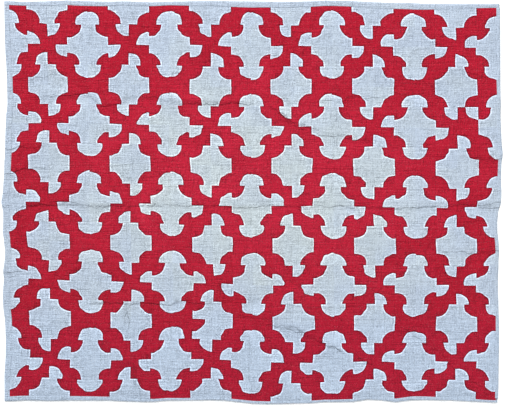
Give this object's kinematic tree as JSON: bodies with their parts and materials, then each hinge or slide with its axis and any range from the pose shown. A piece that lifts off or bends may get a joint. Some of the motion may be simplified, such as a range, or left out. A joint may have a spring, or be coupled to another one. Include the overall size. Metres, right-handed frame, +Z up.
{
  "type": "patchwork quilt",
  "caption": "Pieced and quilted cotton cover lying flat: red and white quarter-circle patches wind into diagonal paths inside a narrow white binding.",
  "frame": {"origin": "middle of the flat underside, where the quilt rests on a surface", "axes": "+X along the longer side, to the right in the picture; +Y along the shorter side, up in the picture; +Z up, out of the pieced face"},
  "size_m": [2.1798, 1.757, 0.0118],
  "materials": {
    "red_cotton": "matt plain-woven cotton, dyed turkey red",
    "white_cotton": "matt plain-woven cotton, cool white"
  },
  "bodies": {
    "root": {"quilt": "red_cotton", "binding_left": "white_cotton", "binding_right": "white_cotton", "binding_top": "white_cotton", "binding_bottom": "white_cotton"}
  },
  "joints": []
}
